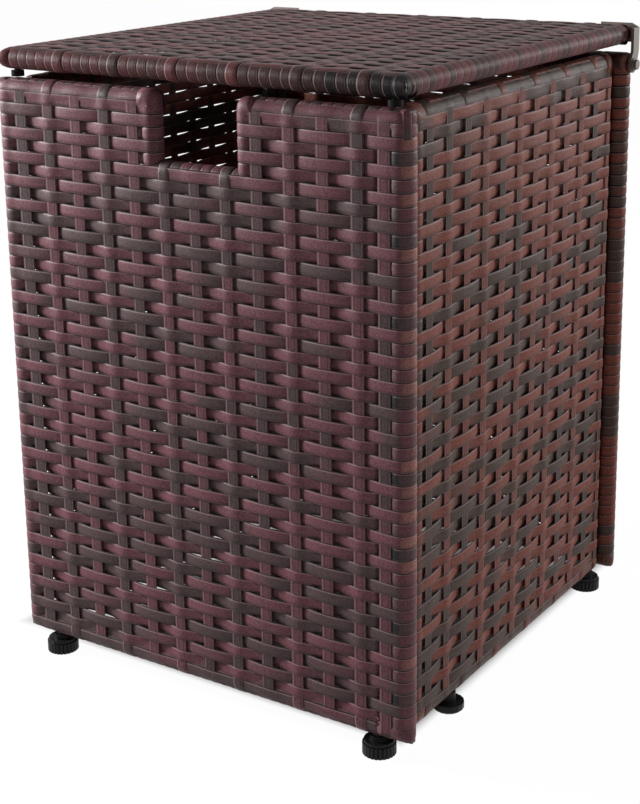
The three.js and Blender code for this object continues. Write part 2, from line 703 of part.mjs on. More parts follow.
function addGlide(side) {
  const neckTop = FOOT_HEIGHT - FIT_GAP;
  const profile = [
    [0, 0],
    [GLIDE_EDGE_RADIUS, 0],
    [GLIDE_RADIUS, GLIDE_RADIUS - GLIDE_EDGE_RADIUS],
    [GLIDE_RADIUS, GLIDE_PAD_HEIGHT],
    [GLIDE_NECK_RADIUS, GLIDE_PAD_HEIGHT],
    [GLIDE_NECK_RADIUS, neckTop],
    [GLIDE_STEM_RADIUS, neckTop],
    [GLIDE_STEM_RADIUS, neckTop + GLIDE_STEM_HEIGHT],
    [0, neckTop + GLIDE_STEM_HEIGHT],
  ];
  addPiece(`side_glide_${side.name}`, turned(profile, side.sign * SIDE_X, GLIDE_Y), BLACK_PLASTIC);
}

addBodyPanels();
addLid();
SIDES.forEach((side) => {
  addHingeBracket(side);
  addHingeBolt(side);
  addHingeWasher(side);
  addBracketScrews(side);
  addBumper(side);
  ENDS.forEach((end) => addPanelBolts(side, end));
  addGlide(side);
});
footPlaces().forEach(addFoot);

export default table;
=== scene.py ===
# %% [markdown]
# # A woven cover table for a gas bottle
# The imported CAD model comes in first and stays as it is: steel frames, hinge, feet and a plain skin where the
# weaving goes. The lesson then weaves every flat plastic strand over those frames, one family at a time, and
# gives each finish its grain. Sizes are in millimetres until a mesh is made, because a weaver thinks in them.

# %% Load the frame
import math
from functools import partial

import bpy
import numpy as np
from mathutils import Matrix, Vector


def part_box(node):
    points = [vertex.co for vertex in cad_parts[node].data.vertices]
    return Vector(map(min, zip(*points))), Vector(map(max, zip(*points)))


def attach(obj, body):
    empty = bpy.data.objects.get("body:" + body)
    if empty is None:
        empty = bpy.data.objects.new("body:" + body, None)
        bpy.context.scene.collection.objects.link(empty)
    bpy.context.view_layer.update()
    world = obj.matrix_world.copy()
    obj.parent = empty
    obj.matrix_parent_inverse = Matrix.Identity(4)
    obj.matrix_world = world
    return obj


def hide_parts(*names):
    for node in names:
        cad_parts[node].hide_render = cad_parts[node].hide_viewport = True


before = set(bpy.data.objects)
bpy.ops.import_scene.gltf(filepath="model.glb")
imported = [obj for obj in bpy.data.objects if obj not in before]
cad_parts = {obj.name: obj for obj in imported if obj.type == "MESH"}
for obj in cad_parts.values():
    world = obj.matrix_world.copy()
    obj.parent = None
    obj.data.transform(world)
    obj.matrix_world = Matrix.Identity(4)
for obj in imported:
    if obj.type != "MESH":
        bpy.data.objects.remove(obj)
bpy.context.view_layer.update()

MM = 0.001
lid_low, lid_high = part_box("lid_weave")
MIDDLE_Y = (lid_low.y + lid_high.y) / 2 / MM
print("the panels' middle lies at y =", round(MIDDLE_Y, 2), "mm")

# %% [markdown]
# ## The camera
# The photograph looks down by some 15 degrees at the front and the right side. Its upright edges stay parallel,
# as in a picture whose lens was shifted down, so the camera here has a small vertical shift as well. It comes
# first, because every later choice is judged through it.

# %% Camera
CAMERA_PLACE = (0.863, -1.3305, 0.774)
CAMERA_TURN = math.radians(33.36)
CAMERA_DIP = math.radians(14.58)
CAMERA_ROLL = math.radians(-0.79)
FOCAL_PIXELS, PICTURE_PIXELS, SENSOR = 1620, 804, 36


def camera_axes(turn, dip, roll):
    """Right, up and back axes of a camera that is turned left of +Y, dipped below level and then rolled."""
    ahead = Vector((-math.sin(turn) * math.cos(dip), math.cos(turn) * math.cos(dip), -math.sin(dip)))
    level = Vector((math.cos(turn), math.sin(turn), 0))
    upward = level.cross(ahead)
    right = math.cos(roll) * level + math.sin(roll) * upward
    return right, -math.sin(roll) * level + math.cos(roll) * upward, -ahead


lens = bpy.data.cameras.new("view_of_the_photograph")
lens.sensor_width = SENSOR
lens.lens = FOCAL_PIXELS * SENSOR / PICTURE_PIXELS
lens.shift_y = -0.15
lens.dof.use_dof = False
camera = bpy.data.objects.new("view_of_the_photograph", lens)
bpy.context.scene.collection.objects.link(camera)
turned = Matrix(camera_axes(CAMERA_TURN, CAMERA_DIP, CAMERA_ROLL)).transposed().to_4x4()
camera.matrix_world = Matrix.Translation(CAMERA_PLACE) @ turned
bpy.context.scene.camera = camera
bpy.context.scene.view_settings.view_transform = "Standard"
print("camera focal length", round(lens.lens, 1), "mm")

# %% [markdown]
# ## One strand
# Every strand is the same flat ribbon, a little crowned, with sloping flanks: two rows side by side touch at the foot
# and leave a dark groove at the top, darkened further by painted shade in the strand's finish. The section is a ring
# of twelve points. A family of strands is one grid of strands, samples along each strand and ring points, so a whole
# panel is computed at once.

# %% The ribbon's section
SECTION_SIDE = np.array([-1, -0.93, -0.84, -0.45, 0, 0.45, 0.84, 0.93, 1, 0.9, 0, -0.9])
SECTION_DROP = np.array([-1.2, -0.62, -0.24, -0.06, 0, -0.06, -0.24, -0.62, -1.2, -1.45, -1.3, -1.45])
RING = len(SECTION_SIDE)
STRAND_WIDTH = 12.2


def sections(run, side, height, width):
    """Hangs a ring on each sample of each strand: side plus half the width times the section's side, and height
    plus the section's drop. run, side and height are strands by samples; the results have the ring as last axis."""
    run, side, height, half = np.broadcast_arrays(run, side, height, np.asarray(width) / 2)
    ring_side = side[..., None] + half[..., None] * SECTION_SIDE
    ring_height = height[..., None] + SECTION_DROP
    return np.broadcast_to(run[..., None], ring_side.shape), ring_side, ring_height


print("a body strand is", STRAND_WIDTH, "mm wide and its ring has", RING, "points")

# %% [markdown]
# ## Round the rods
# The weave is first laid out flat, like a paper pattern, and then bent round the rods of its frame. Only the
# distance past a rod's centre line matters for that, so one function does every edge of every panel.

# %% Bending a flat pattern
def bend(past, height, radius):
    """Up to the rod's centre line nothing changes. Past it, the angle is the distance over the radius; a point
    goes sideways by (radius + height) times its sine, and its level is that times its cosine, less the radius."""
    angle = np.clip(past, 0, None) / radius
    sideways = np.where(past > 0, (radius + height) * np.sin(angle), past)
    level = np.where(past > 0, (radius + height) * np.cos(angle) - radius, height)
    return sideways, level


def bend_both_ends(place, height, low, high, low_radius, high_radius):
    """Bends what lies above high round one rod, and what lies below low round the other."""
    past_high, level = bend(place - high, height, high_radius)
    past_low, level = bend(low - (high + past_high), level, low_radius)
    return low - past_low, level


def softly(value, start, end):
    """0 before start and 1 after end, with the smooth step 3a squared less 2a cubed between them."""
    share = np.clip((value - start) / (end - start), 0, 1)
    return share * share * (3 - 2 * share)


print("a quarter turn round a 10 mm rod ends at", np.round(bend(np.array(5 * math.pi), 0.0, 10.0), 2), "mm")

# %% [markdown]
# ## Five panels
# A panel knows its own right, its up and the way it faces, how far out its face is, and where the centre lines
# of its rods are. The front and the back are bolted between the corner posts, the sides stand a little inside
# them, and the lid lies flat with thinner rods. It also knows its body, its CAD node and its finish's slot.

# %% The panels' places
POST, SIDE_POST, LOW_RAIL, TOP_RAIL = 212.5, 192.2, 30.5, 569.5
BODY_ROD, LID_ROD, LID_SIDE = 12.5, 11.0, 211.0
upright = dict(up=(0, 0, 1), radius=BODY_ROD, body="cover", slot="woven_strand")
wide = dict(upright, right=(1, 0, 0), face=230.0, rods=(-POST, POST, LOW_RAIL, TOP_RAIL))
narrow = dict(upright, right=(0, 1, 0), face=215.5, rods=(-SIDE_POST, SIDE_POST, LOW_RAIL, TOP_RAIL))
PANELS = {
    "front": dict(wide, out=(0, -1, 0), node="front_weave"),
    "rear": dict(wide, out=(0, 1, 0), node="rear_weave"),
    "right": dict(narrow, out=(1, 0, 0), node="right_weave"),
    "left": dict(narrow, out=(-1, 0, 0), node="left_weave"),
    "lid": dict(
        right=(1, 0, 0), up=(0, 1, 0), out=(0, 0, 1), face=610.0, rods=(-LID_SIDE, LID_SIDE, -216.0, 216.0),
        radius=LID_ROD, body="lid", slot="lid_strand", node="lid_weave",
    ),
}
NOTCH = dict(left=-42.0, right=62.0, floor=509.0, radius=10.0)
NO_RODS = (-1e6, 1e6, 1.5, 1.5)  # rods so far away that nothing bends round them


def rods_of(panel, sides, levels):
    """The given side and level rods, or else the panel's own, each as low place, high place and both radii."""
    radius = panel["radius"]
    return sides or (*panel["rods"][:2], radius, radius), levels or (*panel["rods"][2:], radius, radius)


def in_space(panel, across, along, level):
    """The point right times across, plus up times along, plus out times (face plus level)."""
    axes = np.array([panel["right"], panel["up"], panel["out"]], float)
    points = across[..., None] * axes[0] + along[..., None] * axes[1] + (panel["face"] + level)[..., None] * axes[2]
    points[..., 1] += MIDDLE_Y
    return points


def on_panel(panel, across, along, height, sides=None, levels=None):
    """Places flat points on a panel: bent round its side rods, then round its low and high rods."""
    side_places, level_places = rods_of(panel, sides, levels)
    s, level = bend_both_ends(across, height, *side_places)
    t, level = bend_both_ends(along, level, *level_places)
    return in_space(panel, s, t, level)


print("panels:", ", ".join(PANELS))

# %% [markdown]
# ## From grids to meshes
# A grid of rings becomes quads by counting: each quad joins a sample to the next and a ring point to the next.
# The ring closes on itself, and the ends of a strand get a cap of five quads. Where a family's handedness makes
# the faces look inwards, the sign of the enclosed volume tells, and all its faces are turned round together.

# %% Faces by counting
def ring_faces(strand_count, samples, ring):
    """Quads between sample i and i + 1 and ring point k and k + 1, the last point joined to the first."""
    first = np.arange(strand_count)[:, None, None] * samples * ring
    step = np.arange(samples - 1)[None, :, None] * ring
    here, there = np.arange(ring), (np.arange(ring) + 1) % ring
    corners = [here, there, there + ring, here + ring]
    return np.stack([first + step + corner for corner in corners], -1).reshape(-1, 4)


def cap_faces(strand_count, samples, ring):
    """Five quads over each end of each strand, from point pairs that face each other on the ring."""
    a = np.arange(ring // 2 - 1)
    quad = np.stack([a, ring - 1 - a, ring - 2 - a, a + 1], -1)
    starts = np.arange(strand_count)[:, None, None] * samples * ring
    near = (starts + quad).reshape(-1, 4)
    far = (starts + (samples - 1) * ring + quad[:, ::-1]).reshape(-1, 4)
    return np.concatenate([near, far])


def enclosed(points, faces):
    """Six times the volume inside quads that look outwards; it is negative where they look inwards."""
    a, b, c, d = (points[faces[:, k]] for k in range(4))
    return np.einsum("ij,ij->", a, np.cross(b, c)) + np.einsum("ij,ij->", a, np.cross(c, d))


print("each end of a strand is closed by", len(cap_faces(1, 2, RING)) // 2, "quads")

# %% [markdown]
# ## One piece from many strands
# The strands of a panel that do the same job become one mesh, because thousands of small objects would be slow.
# Its points carry the tone, and its corners the place across and along their strand, for the finish to read. The
# piece rides on its body, so a lid's strands turn with the lid, and stands in for the plain skin of its node.

# %% Mesh making
def family(points, tone, run, stake=False):
    """One family of strands, ready to be joined with others: its points, faces, and a tone, grain place and ring share
    at each point. A stake's share is turned round, so that its painted highlight lies on the side the light comes
    from, and 2 higher, which marks it for the stake's painted shade and the painted shade of its middle groove. A ring
    of another size is a fold's, whose share stays near the middle, where the strand has no edge."""
    count, samples, ring = points.shape[:3]
    flat = points.reshape(-1, 3)
    sides, caps = ring_faces(count, samples, ring), cap_faces(count, samples, ring)
    if enclosed(flat, np.concatenate([sides, caps])) < 0:
        sides, caps = sides[:, ::-1], caps[:, ::-1]
    spread = np.broadcast_to(tone[..., None], points.shape[:3]).ravel()
    length = np.broadcast_to(run[..., None], points.shape[:3]).ravel()
    share = (SECTION_SIDE + 1) / 2 if ring == RING else 0.5 + 0.15 * np.cos(2 * np.pi * np.arange(ring) / ring)
    across = np.broadcast_to(3 - share if stake else share, points.shape[:3]).ravel()
    return dict(points=flat, sides=sides, caps=caps, tone=spread, length=length, across=across)


def make_piece(name, families, panel):
    """Joins families into one mesh object in metres, with a UV map (across, length) and a tone attribute. The
    piece rides on its panel's body and is shown in place of the plain skin of its panel's node."""
    body, node, slot = panel["body"], panel["node"], panel["slot"]
    counts = np.cumsum([0] + [len(one["points"]) for one in families])
    points = np.concatenate([one["points"] for one in families]) * MM
    sides = np.concatenate([one["sides"] + start for one, start in zip(families, counts)])
    caps = np.concatenate([one["caps"] + start for one, start in zip(families, counts)])
    faces = np.concatenate([sides, caps]).astype(np.int32)
    mesh = bpy.data.meshes.new(name)
    mesh.vertices.add(len(points))
    mesh.vertices.foreach_set("co", points.astype(np.float32).ravel())
    mesh.loops.add(faces.size)
    mesh.loops.foreach_set("vertex_index", faces.ravel())
    mesh.polygons.add(len(faces))
    mesh.polygons.foreach_set("loop_start", np.arange(0, faces.size, 4, dtype=np.int32))
    smooth = np.arange(len(faces)) < len(sides)
    mesh.polygons.foreach_set("use_smooth", smooth)
    across, length, tone = (np.concatenate([one[key] for one in families]) for key in ("across", "length", "tone"))
    places = np.stack([across[faces], length[faces] * MM], -1)
    mesh.uv_layers.new(name="strand").data.foreach_set("uv", places.astype(np.float32).ravel())
    mesh.attributes.new("tone", "FLOAT", "POINT").data.foreach_set("value", tone.astype(np.float32))
    mesh.update(calc_edges=True)
    mesh.validate()
    piece = bpy.data.objects.new(name, mesh)
    bpy.context.scene.collection.objects.link(piece)
    mesh.materials.append(panel["finish"])
    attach(piece, body)
    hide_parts(node)
    print(f"{name}: {len(points)} points, {len(faces) * 2} triangles")


# %% [markdown]
# ## Two colours in one strand
# The real strand is pressed from two plastics that are not quite mixed, so it drifts between a pinkish brown and a
# dark grey-brown along its length, and now and then it is nearly black. A tone from 0 to 1 carries that: random values
# stand 95 mm apart along a strand, and a cosine eases from one to the next. A tone below 0 means painted highlight: a
# paler colour painted where the light falls on the right front post's turn.

# %% Tones
SEED = 71
rng = np.random.default_rng(SEED)
GREY_SHARES, THRESHOLDS = (0.05, 0.2, 0.35, 0.5, 0.65, 0.8), (1.2, 0.6, 0.27, 0, -0.27, -0.6)
SPACING, GRAIN_LENGTH = 95.0, 9000


def grain_start(count):
    """A random start of each strand's grain, so that no two strands show the same lines."""
    return rng.uniform(0, GRAIN_LENGTH, (count, 1))


def drifting(count, run, steady=0.6, grey=0.4, bias=0.0):
    """Eased random values along each strand, plus one steady value for the whole strand, pushed through a soft
    threshold so that about the share called grey is dark."""
    run = np.broadcast_to(run, (count, run.shape[-1]))
    knots = int((run.max() - run.min()) / SPACING) + 3
    values = rng.normal(0, 1, (count, knots))
    place = (run - run.min()) / SPACING + rng.uniform(0, 1, (count, 1))
    before = np.clip(place.astype(int), 0, knots - 2)
    share = (1 - np.cos(np.pi * (place - before).clip(0, 1))) / 2
    rows = np.arange(count)[:, None]
    drift = values[rows, before] * (1 - share) + values[rows, before + 1] * share
    mixed = math.sqrt(1 - steady**2) * drift + steady * rng.normal(0, 1, (count, 1)) + bias
    threshold = math.sqrt(2) * float(np.interp(grey, GREY_SHARES, THRESHOLDS))
    return 0.08 + 0.6 * softly(mixed - threshold, -0.55, 0.55) + 0.05 * values.mean(axis=1, keepdims=True)


print("tones are drawn from seed", SEED)

# %% [markdown]
# ## Over and under
# A row passes over one stake and under the next. The strand is stiff, so it arches over a stake in one long curve
# and turns sharply only where the next stake holds it down. A parabola with a short rounding at its foot has that
# shape. Near a rod there is no room behind, so no strand sinks below the rod's surface.

# %% The wave, and the room above a rod
ROW_PITCH = 11.4
OVER, UNDER = -0.1, -4.2
STAKE_LEVEL, STAKE_SWAY, PROUD = -2.2, 0.3, -0.12
SNUG = -0.35
ROUNDING_START = 0.88
TUBE_ALLOWANCE, GAP = 1.1, 0.15


def wave(offset, pitch, power=2):
    """Arches of period two pitches. With x the distance from an arch's middle over the pitch, the fall is x to the
    power, less (x - 0.88) squared times power / 0.24 past 0.88; the wave runs from 1 at the middle to -1 at x = 1."""
    x = np.abs((offset / pitch + 1) % 2 - 1)
    rounded = np.clip(x - ROUNDING_START, 0, None) ** 2 * power / 0.24
    return 1 - 2 * (x**power - rounded) / (1 - 0.06 * power)


def rod_top(distance, radius):
    """The lowest a strand's crown may be beside a rod: the tube's circle below the face, plus a small gap."""
    tube = radius - TUBE_ALLOWANCE
    return np.sqrt(np.clip(tube**2 - np.clip(distance, 0, None) ** 2, 0, None)) - radius + GAP


def clear_of_rods(panel, across, along, height, sides, levels, room, flatten):
    """Lifts the ring points that would sink into a rod: each stays above the rod's circle by room plus the
    section's drop times flatten, so a strand on a rod lies flatter than a free one."""
    (low_s, high_s, low_radius, high_radius), (low_t, high_t, floor_radius, top_radius) = rods_of(panel, sides, levels)
    tops = [
        rod_top(high_s - across, high_radius), rod_top(across - low_s, low_radius),
        rod_top(high_t - along, top_radius), rod_top(along - low_t, floor_radius),
    ]
    highest = np.maximum.reduce(tops) - GAP
    return np.maximum(height, highest + room + flatten * SECTION_DROP)


def snug_past(height, inside):
    """Eases a height to snug on the rod as inside, the distance still to go to its centre line, runs out."""
    share = softly(inside, -1.0, 9.0)
    return height * share + SNUG * (1 - share)


print("row pitch", ROW_PITCH, "mm, relief", OVER - UNDER, "mm")

# %% [markdown]
# ## Helpers for nodes
# A finish in Blender is a tree of nodes. A small helper adds a node, sets it and links what it is given, which
# keeps each recipe down to the lines that matter. Three more write the nodes that every recipe needs.

# %% Node helper
def add(tree, kind, inputs=None, **settings):
    """Adds a node, gives it its settings, and links or sets the inputs named in a dictionary."""
    made = tree.nodes.new(kind)
    for key, value in settings.items():
        setattr(made, key, value)
    for key, value in (inputs or {}).items():
        if isinstance(value, bpy.types.NodeSocket):
            tree.links.new(value, made.inputs[key])
        else:
            made.inputs[key].default_value = value
    return made


def math_node(tree, operation, a, b=0.0):
    """One Math node, and its result."""
    return add(tree, "ShaderNodeMath", {0: a, 1: b}, operation=operation).outputs[0]


def remap(tree, value, low, high, to_low=0.0, to_high=1.0):
    """A smooth step from low to high, put into another range."""
    inputs = {0: value, 1: low, 2: high, 3: to_low, 4: to_high}
    return add(tree, "ShaderNodeMapRange", inputs, interpolation_type="SMOOTHSTEP").outputs[0]


def mix_colours(tree, share, first, second, how="MIX"):
    """One colour Mix node, and its result."""
    inputs = {0: share, 6: first, 7: second}
    return add(tree, "ShaderNodeMix", inputs, data_type="RGBA", blend_type=how).outputs[2]


NODE_HELPERS = (add, math_node, remap, mix_colours)


def helpers_for(tree):
    """The four helpers above, for one node tree."""
    return [partial(helper, tree) for helper in NODE_HELPERS]


print("node helpers:", ", ".join(helper.__name__ for helper in NODE_HELPERS))

# %% [markdown]
# ## Groups and colours
# Strand, painted steel, moulded plastic, rubber and zinc share a few effects, so those are node groups: grain
# along a strand, and a pebbled surface. A group takes colours in and gives a colour, a roughness and a height for
# the bump. Its colours are written as on screen, as they are read off a photograph.

# %% Groups and colours
COLOUR, NUMBER = "NodeSocketColor", "NodeSocketFloat"


def new_group(name, inputs):
    """An empty shader group with named inputs, given as name and (type, default), and a finish's three outputs."""
    group = bpy.data.node_groups.new(name, "ShaderNodeTree")
    for label, (kind, default) in inputs.items():
        group.interface.new_socket(label, in_out="INPUT", socket_type=kind).default_value = default
    for label, kind in (("Color", COLOUR), ("Roughness", NUMBER), ("Height", NUMBER)):
        group.interface.new_socket(label, in_out="OUTPUT", socket_type=kind)
    return group, group.nodes.new("NodeGroupInput"), group.nodes.new("NodeGroupOutput")


def srgb(code):
    """A colour written as on screen, six hexadecimal digits, as the linear values that shaders want."""
    values = np.array([int(code[k:k + 2], 16) for k in (0, 2, 4)]) / 255
    linear = np.where(values <= 0.04045, values / 12.92, ((values + 0.055) / 1.055) ** 2.4)
    return (*(float(value) for value in linear), 1.0)


print("half grey on screen is", round(srgb("808080")[0], 3), "in linear light")

# %% [markdown]
# ## The strand's plastic
# Close up, the strand has fine lines along it from the die and a faint leathery grain. Light and shade are also
# painted into its colour: a paler line near each edge, partly wear and partly painted highlight, stronger on the upper
# edge; painted shade on the lower part of each row, on the flanks where strands meet, in a stake's middle groove, and
# over the whole of each stake, as if it lay back in shade. The tone attribute mixes the two plastics. The UV map runs
# across and along each strand, so the lines follow every bend.

# %% Strand group
# the fourth colour, pinkish and pale, is the painted highlight of the right post's turn, used where the tone falls
# below 0
strand_group, given, result = new_group(
    "strand_grain",
    {
        "Brown": (COLOUR, srgb("6c434a")), "Grey": (COLOUR, srgb("503e3f")), "Black": (COLOUR, srgb("131011")),
        "Turn_highlight": (COLOUR, srgb("9c6a62")), "Edge": (NUMBER, 0.45),
    },
)
put, maths, ease, blend = helpers_for(strand_group)
tone = put("ShaderNodeAttribute", attribute_name="tone").outputs["Fac"]
strand_place = put("ShaderNodeUVMap", uv_map="strand").outputs[0]
body_place = put("ShaderNodeTexCoord").outputs["Object"]
across_share = put("ShaderNodeSeparateXYZ", {0: strand_place}).outputs[0]
is_stake = maths("GREATER_THAN", across_share, 1.5)
line_place = put("ShaderNodeVectorMath", {0: strand_place, 1: (34, 42, 0)}, operation="MULTIPLY").outputs[0]
lines = put("ShaderNodeTexNoise", {"Vector": line_place, "Scale": 1.0, "Detail": 3.0}).outputs[0]
grain = put("ShaderNodeTexNoise", {"Vector": body_place, "Scale": 620.0, "Detail": 2.0}).outputs[0]
cloud = put("ShaderNodeTexNoise", {"Vector": body_place, "Scale": 38.0, "Detail": 2.0}).outputs[0]
ragged = maths("ADD", tone, ease(lines, 0.2, 0.8, -0.06, 0.06))
light_to_grey = blend(ease(ragged, 0.12, 0.6), given.outputs["Brown"], given.outputs["Grey"])
# painted highlight: a tone below 0 blends to the highlight colour of the right post's turn
with_turn_highlight = blend(ease(ragged, -0.05, -0.6), light_to_grey, given.outputs["Turn_highlight"])
with_black = blend(ease(ragged, 0.72, 1.0), with_turn_highlight, given.outputs["Black"])
brightness = maths("ADD", ease(lines, 0.25, 0.75, 0.86, 1.1), ease(cloud, 0.3, 0.7, -0.06, 0.06))
brightness = maths("ADD", brightness, ease(grain, 0.36, 0.64, -0.24, 0.2))
# painted shade: stakes are made darker, as if they lay back in the shade of the rows
brightness = maths("MULTIPLY", brightness, ease(is_stake, 0.0, 1.0, 1.0, 0.84))
lower_shade = maths("MAXIMUM", ease(across_share, 0.05, 0.36, 0.45, 1.0), is_stake)
brightness = maths("MULTIPLY", brightness, lower_shade)
shaded = blend(1.0, with_black, brightness, "MULTIPLY")
upper_share = maths("SUBTRACT", across_share, maths("MULTIPLY", is_stake, 2.0))
from_middle = maths("ABSOLUTE", maths("MULTIPLY", maths("SUBTRACT", upper_share, 0.5), 2.0))


def band(low, high, soft):
    """1 where the distance from the strand's middle line lies between low and high, with soft edges."""
    rise, fall = ease(from_middle, low - soft, low + soft), ease(from_middle, high - soft, high + soft, 1.0, 0.0)
    return maths("MULTIPLY", rise, fall)


# painted highlight, partly wear: a paler line near each edge of a strand, at full strength on the upper edge where the
# light falls and about a third on the lower one
edge_wear_and_highlight = maths("MULTIPLY", band(0.73, 0.84, 0.03), ease(upper_share, 0.4, 0.6, 0.35, 1.0))
pale = blend(maths("MULTIPLY", edge_wear_and_highlight, given.outputs["Edge"]), shaded, srgb("a78a8c"))
# painted shade: a dark line down the middle of each stake, standing for the shade in its groove
groove_painted_shade = maths("MULTIPLY", band(0.44, 0.56, 0.03), maths("MULTIPLY", is_stake, 0.55))
# painted shade: the flanks of every strand darken towards near black, for the shade in the seams between strands; a
# stake's flanks only a little
flank_painted_shade = maths("MULTIPLY", ease(from_middle, 0.84, 0.9), ease(is_stake, 0.0, 1.0, 0.93, 0.3))
pale = blend(maths("MAXIMUM", groove_painted_shade, flank_painted_shade), pale, srgb("140e0f"))
strand_group.links.new(pale, result.inputs["Color"])
strand_group.links.new(ease(lines, 0.3, 0.7, 0.53, 0.43), result.inputs["Roughness"])
height = maths("ADD", maths("MULTIPLY", lines, 0.7), maths("MULTIPLY", grain, 0.6))
strand_group.links.new(height, result.inputs["Height"])
print("strand group has", len(strand_group.nodes), "nodes")

# %% [markdown]
# ## Three colours of strand
# A group becomes a finish when its colour, roughness and height feed a Principled shader. The strand is one plastic
# all round, but its colour is written three times, as painted light: mauve on the front, redder on the sides and
# between them on the lid, for the colour that the light gives each. All have little shine.

# %% Strand materials
def finish_with(group, name, values, sockets, bump_height):
    """A Principled material fed by a group: Color, Roughness, and Height through a Bump of the given distance."""
    material = bpy.data.materials.new(name)
    material.use_nodes = True
    tree = material.node_tree
    shader = tree.nodes["Principled BSDF"]
    for key, value in sockets.items():
        shader.inputs[key].default_value = value
    grain_node = add(tree, "ShaderNodeGroup", values, node_tree=group)
    height = grain_node.outputs["Height"]
    bump = add(tree, "ShaderNodeBump", {"Height": height, "Distance": bump_height, "Strength": 1.0})
    tree.links.new(grain_node.outputs["Color"], shader.inputs["Base Color"])
    tree.links.new(grain_node.outputs["Roughness"], shader.inputs["Roughness"])
    tree.links.new(bump.outputs[0], shader.inputs["Normal"])
    return material


def strand_finish(name, shine, **values):
    """A strand's finish: the strand group with its own colours and a low shine."""
    return finish_with(strand_group, name, values, {"IOR": 1.5, "Specular IOR Level": shine}, 0.00035)


# painted light: one strand plastic in three coloured copies, each standing for the light on the front, the sides and
# the lid
front_strand = strand_finish("strand_lit_front", 0.16)
side_strand = strand_finish("strand_lit_sides", 0.12, Brown=srgb("7c4439"), Grey=srgb("4a3a33"))
lid_strand = strand_finish("lid_strand", 0.08, Brown=srgb("683a3b"), Grey=srgb("472f2e"), Edge=0.5)
PANEL_FINISHES = {
    "front": front_strand, "rear": side_strand, "right": side_strand, "left": side_strand, "lid": lid_strand,
}
for name, finish in PANEL_FINISHES.items():
    PANELS[name]["finish"] = finish
    print(name, "panel:", finish.name)

# %% [markdown]
# ## Steel, plastic, rubber and zinc
# The frames, the hinge straps and their bolts are painted steel, with the slight orange peel of powder paint.
# The feet are moulded plastic with a pebbled matte skin. The studs are zinc plated. One group gives them all a
# mottled colour and a bump of a chosen size.

# %% Surface group and the hard finishes
surface_group, given, result = new_group(
    "surface_mottle",
    {
        "Main": (COLOUR, srgb("5d5048")), "Worn": (COLOUR, srgb("6f6258")), "Size": (NUMBER, 700.0),
        "Rough": (NUMBER, 0.5),
    },
)
put, maths, ease, blend = helpers_for(surface_group)
place = put("ShaderNodeTexCoord").outputs["Object"]
fine = put("ShaderNodeTexNoise", {"Vector": place, "Scale": given.outputs["Size"], "Detail": 3.0}).outputs[0]
broad = put("ShaderNodeTexNoise", {"Vector": place, "Scale": 60.0, "Detail": 4.0}).outputs[0]
worn = ease(maths("ADD", maths("MULTIPLY", fine, 0.4), maths("MULTIPLY", broad, 0.6)), 0.42, 0.62)
surface_group.links.new(blend(worn, given.outputs["Main"], given.outputs["Worn"]), result.inputs["Color"])
rough = maths("ADD", given.outputs["Rough"], ease(broad, 0.35, 0.65, -0.07, 0.07))
surface_group.links.new(rough, result.inputs["Roughness"])
surface_group.links.new(fine, result.inputs["Height"])


def hard_finish(name, bump_height, sockets, **values):
    """A hard finish: the surface group with its own colours, pebble size and roughness."""
    return finish_with(surface_group, name, values, sockets, bump_height)


painted = hard_finish("brown_paint", 0.00012, {"Metallic": 0.1})
frame_paint = hard_finish("frame_paint", 0.00012, {"Metallic": 0.1}, Main=srgb("352b28"), Worn=srgb("423531"))
black_plastic = hard_finish(
    "black_plastic", 0.00008, {"Specular IOR Level": 0.17}, Main=srgb("121112"), Worn=srgb("1b191a"), Size=1400.0,
    Rough=0.42,
)
rubber = hard_finish(
    "rubber", 0.0001, {"Specular IOR Level": 0.1}, Main=srgb("0d0c0c"), Worn=srgb("151313"), Size=900.0, Rough=0.8
)
zinc = hard_finish(
    "zinc_plate", 0.00003, {"Metallic": 1.0}, Main=srgb("9a9893"), Worn=srgb("b4b1aa"), Size=500.0, Rough=0.34
)
CAD_FINISHES = {
    "_frame": frame_paint, "hinge_": painted, "bracket_screw": painted, "panel_bolt": zinc, "lid_bumper": rubber,
    "foot_knob": black_plastic, "foot_insert": black_plastic, "side_glide": black_plastic, "foot_stud": zinc,
    "_weave": front_strand,
}
for node_name, node_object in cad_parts.items():
    finish = next(value for key, value in CAD_FINISHES.items() if key in node_name)
    node_object.data.materials.clear()
    node_object.data.materials.append(finish)
print("finishes given to", len(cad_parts), "CAD nodes")

# %% [markdown]
# ## Rows
# The rows are the long horizontal strands. Rows and stakes alternate like a chessboard: an even row goes over
# the even stakes. At the ends a row runs on round the corner post and ends out of sight behind it.

# %% Row weaving
STAKE_PITCH = 33.5
ROW_STEP, STAKE_STEP = 3.6, 3.3
ROW_ROOM, STAKE_ROOM = (0.15, 0.1), (0.35, 0.3)
# painted highlight for the light on the right front post's turn: how far a row's tone drops there, and over what
# length
TURN_HIGHLIGHT_AMOUNT, TURN_HIGHLIGHT_LENGTH = 0.6, 12
FLOOR_EASE = 14


